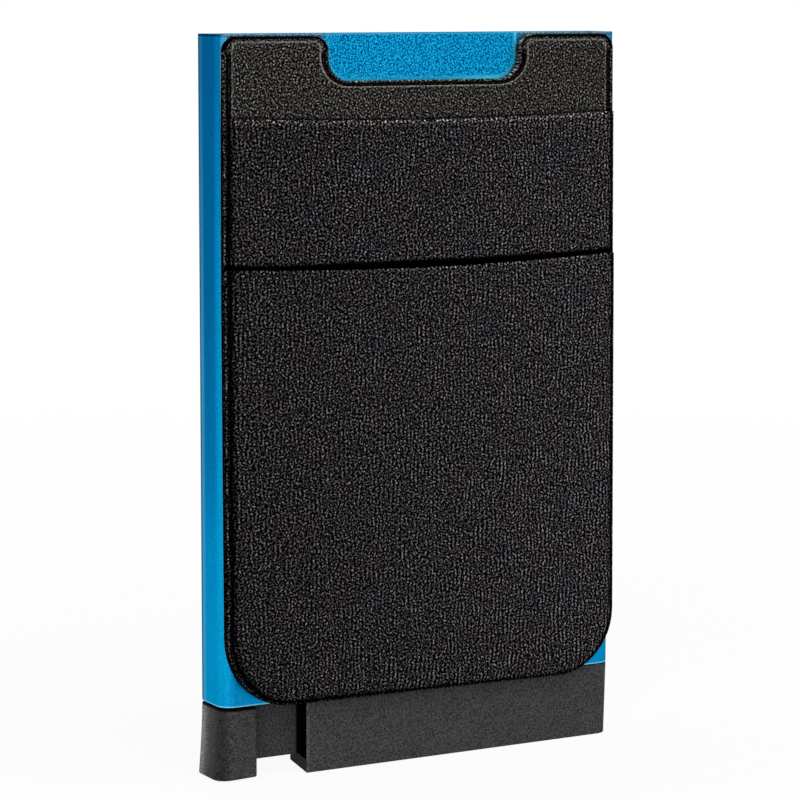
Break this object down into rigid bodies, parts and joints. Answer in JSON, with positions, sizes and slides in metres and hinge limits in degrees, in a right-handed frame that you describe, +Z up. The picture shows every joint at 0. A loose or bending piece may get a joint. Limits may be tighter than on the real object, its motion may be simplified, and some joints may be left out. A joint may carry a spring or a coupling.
{
  "type": "pop up card holder",
  "caption": "Slim blue aluminium card case with a black base, a thumb lever at its corner that fans the cards out, and a two-slot elastic pocket on its front.",
  "frame": {"origin": "middle of the case's width and depth, on the underside of the base, on which the holder stands", "axes": "+Z up along the case towards its open end, -Y towards the fabric pocket, +X to the right with the thumb lever at the left"},
  "size_m": [0.0636, 0.01, 0.102],
  "materials": {
    "blue_anodised_aluminium": "satin bead-blasted, blue anodised",
    "black_base_plastic": "fine moulded texture",
    "black_lever_plastic": "fine moulded texture",
    "pin_steel": "ground",
    "guide_plastic": "smooth moulded",
    "grey_felt": "pressed felt",
    "clear_tape": "smooth film",
    "adhesive_foam": "thin foam",
    "backing_leather": "fine grained, pressed border",
    "hot_melt_film": "smooth film",
    "elastic_knit": "fine ribbed knit"
  },
  "bodies": {
    "case": {"case_sleeve": "blue_anodised_aluminium", "base_block": "black_base_plastic", "pivot_pin": "pin_steel", "guide_rail_left": "guide_plastic", "guide_rail_right": "guide_plastic", "friction_strip_left": "grey_felt", "friction_strip_right": "grey_felt", "strip_tape_left": "clear_tape", "strip_tape_right": "clear_tape", "adhesive_pad": "adhesive_foam", "pocket_backing": "backing_leather", "mid_bond_film": "hot_melt_film", "front_bond_film": "hot_melt_film", "pocket_mid_panel": "elastic_knit", "pocket_front_panel": "elastic_knit"},
    "lever": {"ejector_lever": "black_lever_plastic"}
  },
  "joints": [
    {"name": "lever_hinge", "type": "hinge", "parent": "case", "child": "lever", "pos_m": [-0.024, 0, 0.0132], "axis": [0, -1, 0], "range_deg": [0, 33]}
  ]
}
